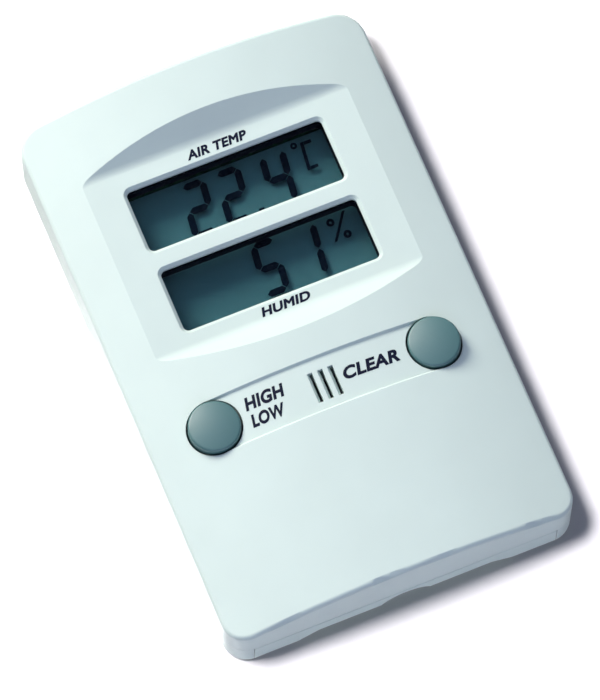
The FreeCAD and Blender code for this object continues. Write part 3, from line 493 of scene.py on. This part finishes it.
def winding(point, loops):
    """How many times the loops run round a point, anticlockwise."""
    turns = 0
    for loop in loops:
        for a, b in zip(loop, loop[1:] + loop[:1]):
            side = (b - a).cross(point - a)
            if a.y <= point.y < b.y and side > 0:
                turns += 1
            elif b.y <= point.y < a.y and side < 0:
                turns -= 1
    return turns


def thickened(loop, amount):
    """The loop moved sideways by amount, with the reach of its sharp corners kept short."""
    moved = []
    for before, here, after in zip(loop[-1:] + loop[:-1], loop, loop[1:] + loop[:1]):
        arriving = (here - before).normalized()
        leaving = (after - here).normalized()
        side = Vector((arriving.y + leaving.y, -arriving.x - leaving.x)).normalized()
        reach = max(side.dot(Vector((arriving.y, -arriving.x))), MITRE_LIMIT)
        moved.append(here + side * amount / reach)
    return moved


def filled(outlines, outward):
    """Triangles that fill the outlines where they run round outward, so that crossing strokes merge."""
    points = [point for loop in outlines for point in loop]
    edges = []
    for loop in outlines:
        start = edges[-1][0] + 1 if edges else 0
        edges += [(start + i, start + (i + 1) % len(loop)) for i in range(len(loop))]
    merge_distance = 1e-5
    points, _, triangles, *_ = delaunay_2d_cdt(points, edges, [], 0, merge_distance)
    kept = []
    for triangle in triangles:
        middle = sum((points[i] for i in triangle), Vector((0, 0))) / 3
        if winding(middle, outlines) * outward > 0:
            kept.append(triangle)
    return points, kept


def film(name, points, triangles, thickness):
    """A thin closed solid over flat triangles that lie anywhere on a surface."""
    count = len(points)
    up = Vector((0, 0, thickness / 2))
    vertices = [p - up for p in points] + [p + up for p in points]
    faces = []
    rim = {}
    for a, b, c in triangles:
        faces += [(a + count, b + count, c + count), (c, b, a)]
        for edge in ((a, b), (b, c), (c, a)):
            rim[edge] = edge[::-1]
    for (a, b), back in rim.items():
        if back not in rim:
            faces.append((a, b, b + count, a + count))
    mesh = bpy.data.meshes.new(name)
    mesh.from_pydata(vertices, [], faces)
    mesh.update()
    return mesh


def legend(name, text, left, right, baseline, capital, height_at, ink):
    """Slanted bold capitals, fitted between two ends and laid on the face as a thin closed film of ink."""
    outlines = text_outlines(text)
    tallest = max(point.y for loop in outlines for point in loop)
    outward = math.copysign(1, signed_area(max(outlines, key=lambda loop: abs(signed_area(loop)))))
    bold = INK_BOLD * tallest
    points, triangles = filled([thickened(loop, outward * bold) for loop in outlines], outward)
    scale = capital / (tallest + 2 * bold)
    slanted = [point.x * scale + point.y * scale * LEGEND_SLANT for point in points]
    spacing = (right - left) / (max(slanted) - min(slanted))
    placed = []
    for point, along in zip(points, slanted):
        x = left + (along - min(slanted)) * spacing
        y = baseline + (point.y + bold) * scale
        placed.append(Vector((x, y, height_at(x, y))))
    mesh = film(name, placed, triangles, 2 * INK_RISE)
    piece = bpy.data.objects.new(name, mesh)
    bpy.context.scene.collection.objects.link(piece)
    mesh.materials.append(ink)
    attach(piece, "case")


def make_legends(height_at):
    ink = printed_ink()
    for name, (text, left, right, baseline, capital) in LEGENDS.items():
        legend(name, text, left * MM, right * MM, baseline * MM, capital * MM, height_at, ink)


# ---------------------------------------------------------------- soft key domes
def lathe(name, profile, centre, segments):
    """A ring-shaped solid: a closed profile of (radius, z) points turned about an upright axis."""
    vertices = []
    faces = []
    count = len(profile)
    for step in range(segments):
        angle = math.tau * step / segments
        for radius, z in profile:
            vertices.append((centre.x + radius * math.cos(angle), centre.y + radius * math.sin(angle), z))
    for step in range(segments):
        here = step * count
        after = (step + 1) % segments * count
        for i in range(count):
            j = (i + 1) % count
            faces.append((here + i, after + i, after + j, here + j))
    mesh = bpy.data.meshes.new(name)
    mesh.from_pydata(vertices, [], faces)
    mesh.update()
    return bpy.data.objects.new(name, mesh)


def key_dome(node_name, material):
    """The silicone dome under a button: a flat skirt, a thin cone and a thick top that the cap rests on."""
    low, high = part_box(node_name)
    centre = (low + high) / 2
    radius = (high.x - low.x) / 2
    base = low.z
    top = high.z
    pad = radius * DOME_PAD
    skirt = base + DOME_SKIRT
    roof = base + DOME_ROOF * (top - base)
    foot = radius - DOME_RIM
    outside = [(radius, base), (radius, skirt), (radius - DOME_LEDGE, skirt), (pad, base + DOME_SHOULDER),
               (pad, top), (DOME_BORE, top)]
    inside = [(DOME_BORE, roof), (pad - DOME_WALL, roof + 0.6 * MM), (foot, base + 0.5 * MM), (foot, base)]
    profile = outside + inside
    piece = lathe(node_name + "_soft", profile, centre, DOME_SEGMENTS)
    bpy.context.scene.collection.objects.link(piece)
    piece.data.materials.append(material)
    for polygon in piece.data.polygons:
        polygon.use_smooth = True
    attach(piece, "case")
    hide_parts(node_name)
    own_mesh(piece)


# ---------------------------------------------------------------- studio
def instrument_collection():
    """A collection of everything but the stage, so that lights can be kept to the instrument."""
    collection = bpy.data.collections.new("instrument")
    bpy.context.scene.collection.children.link(collection)
    for piece in list(bpy.context.scene.objects):
        if piece.type == "MESH":
            collection.objects.link(piece)
    return collection


def toe(name, body, place_at):
    """A marker that rides on a body, for the floor to keep below."""
    marker = bpy.data.objects.new(name, None)
    marker.location = place_at
    bpy.context.scene.collection.objects.link(marker)
    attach(marker, body)
    return marker


def make_floor():
    """A board under the instrument; it gives way to the stand and the door when they swing out."""
    half = FLOOR_HALF
    corners = [(-half, -half, 0), (half, -half, 0), (half, half, 0), (-half, half, 0)]
    mesh = bpy.data.meshes.new("floor")
    mesh.from_pydata(corners, [], [(0, 1, 2, 3)])
    mesh.materials.append(floor_material())
    floor = bpy.data.objects.new("floor", mesh)
    bpy.context.scene.collection.objects.link(floor)
    floor.visible_shadow = False
    stand_low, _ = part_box("table_stand")
    door_low, door_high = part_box("battery_door")
    markers = [toe("stand_toe", "stand", (0, stand_low.y, stand_low.z)),
               toe("door_tip", "battery_door", (0, door_high.y, door_low.z))]
    drop = floor.driver_add("location", 2).driver
    for letter, marker in zip("ab", markers):
        reading = drop.variables.new()
        reading.name = letter
        reading.type = "TRANSFORMS"
        reading.targets[0].id = marker
        reading.targets[0].transform_type = "LOC_Z"
        reading.targets[0].transform_space = "WORLD_SPACE"
    drop.expression = f"min(0, a, b) - {FLOOR_GAP:.7f}"
    return floor


def outward_from(azimuth, elevation):
    turn = math.radians(azimuth)
    rise = math.radians(elevation)
    return Vector((math.cos(turn) * math.cos(rise), math.sin(turn) * math.cos(rise), math.sin(rise)))


def soft_light(name, azimuth, elevation, distance, size, power, colour, onto, past):
    """A square soft box that faces the instrument and lights only the collection onto.

    Azimuth runs from +X towards +Y. Only the collection past casts its shadows.
    """
    light = bpy.data.lights.new(name, "AREA")
    light.shape = "SQUARE"
    light.size = size
    light.energy = power
    light.color = colour
    outward = outward_from(azimuth, elevation)
    holder = bpy.data.objects.new(name, light)
    holder.location = outward * distance
    holder.rotation_mode = "QUATERNION"
    holder.rotation_quaternion = (-outward).to_track_quat("-Z", "Y")
    bpy.context.scene.collection.objects.link(holder)
    holder.light_linking.receiver_collection = onto
    holder.light_linking.blocker_collection = past


def make_world():
    """Dim blue room light, mostly from beyond the top end, with a white backdrop for the camera."""
    world = bpy.data.worlds.new("studio")
    world.use_nodes = True
    tree = world.node_tree
    output = next(n for n in tree.nodes if n.type == "OUTPUT_WORLD")
    room = next(n for n in tree.nodes if n.type == "BACKGROUND")
    towards = node(tree, "ShaderNodeTexCoord").outputs["Generated"]
    toward_top = node(tree, "ShaderNodeSeparateXYZ", {0: towards}).outputs["Y"]
    strength = spread(tree, toward_top, ROOM_LIGHT[0], ROOM_LIGHT[1], -1.0, 1.0)
    set_inputs(tree, room, {"Color": (0.66, 0.70, 1.0, 1), "Strength": strength})
    backdrop = node(tree, "ShaderNodeBackground", {"Color": (1, 1, 1, 1), "Strength": 1.0})
    to_camera = node(tree, "ShaderNodeLightPath").outputs["Is Camera Ray"]
    mix = node(tree, "ShaderNodeMixShader", {0: to_camera, 1: room.outputs[0], 2: backdrop.outputs[0]})
    tree.links.new(mix.outputs[0], output.inputs["Surface"])
    bpy.context.scene.world = world


def make_lights(floor):
    instrument = instrument_collection()
    stage = bpy.data.collections.new("stage_only")
    bpy.context.scene.collection.children.link(stage)
    stage.objects.link(floor)
    for name, settings in LIGHTS.items():
        soft_light(name, *settings, stage if name == "floor_wash" else instrument, instrument)
    make_world()


def make_camera(height_at):
    """The camera leans off the face's normal and is rolled so that the instrument looks turned."""
    scene = bpy.context.scene
    lens_low, lens_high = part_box("display_lens")
    face_z = height_at(0, (lens_low.y + lens_high.y) / 2)
    uphill = Vector((math.sin(VIEW_TURN), math.cos(VIEW_TURN), 0))
    face_normal = Vector((0, 0, 1))
    outward = face_normal * math.cos(VIEW_TILT) - uphill * math.sin(VIEW_TILT)
    upward = uphill * math.cos(VIEW_TILT) + face_normal * math.sin(VIEW_TILT)
    data = bpy.data.cameras.new("camera")
    data.lens = VIEW_LENS
    data.sensor_width = VIEW_SENSOR
    data.clip_start = 0.05
    camera = bpy.data.objects.new("camera", data)
    scene.collection.objects.link(camera)
    centre = Vector((*VIEW_FACE_POINT, face_z)) + outward * VIEW_DISTANCE
    aim = Vector((*VIEW_AIM, face_z))
    forward = (aim - centre).normalized()
    right = forward.cross(upward).normalized()
    up = right.cross(forward)
    camera.matrix_world = Matrix.Translation(centre) @ Matrix((right, up, -forward)).transposed().to_4x4()
    scene.camera = camera
    scene.view_settings.view_transform = "Standard"


materials = make_materials()
paint_frame(materials)
for packed in frame["nodes"].values():
    shade_smoothly(packed)
face_height = surface_of("front_shell")
make_legends(face_height)
for dome, press in KEY_DOMES.items():
    key_dome(dome, materials["silicone"])
make_lights(make_floor())
make_camera(face_height)
# the display is looked at through a stack of clear sheets, each with two faces
bpy.context.scene.cycles.transparent_max_bounces = 32
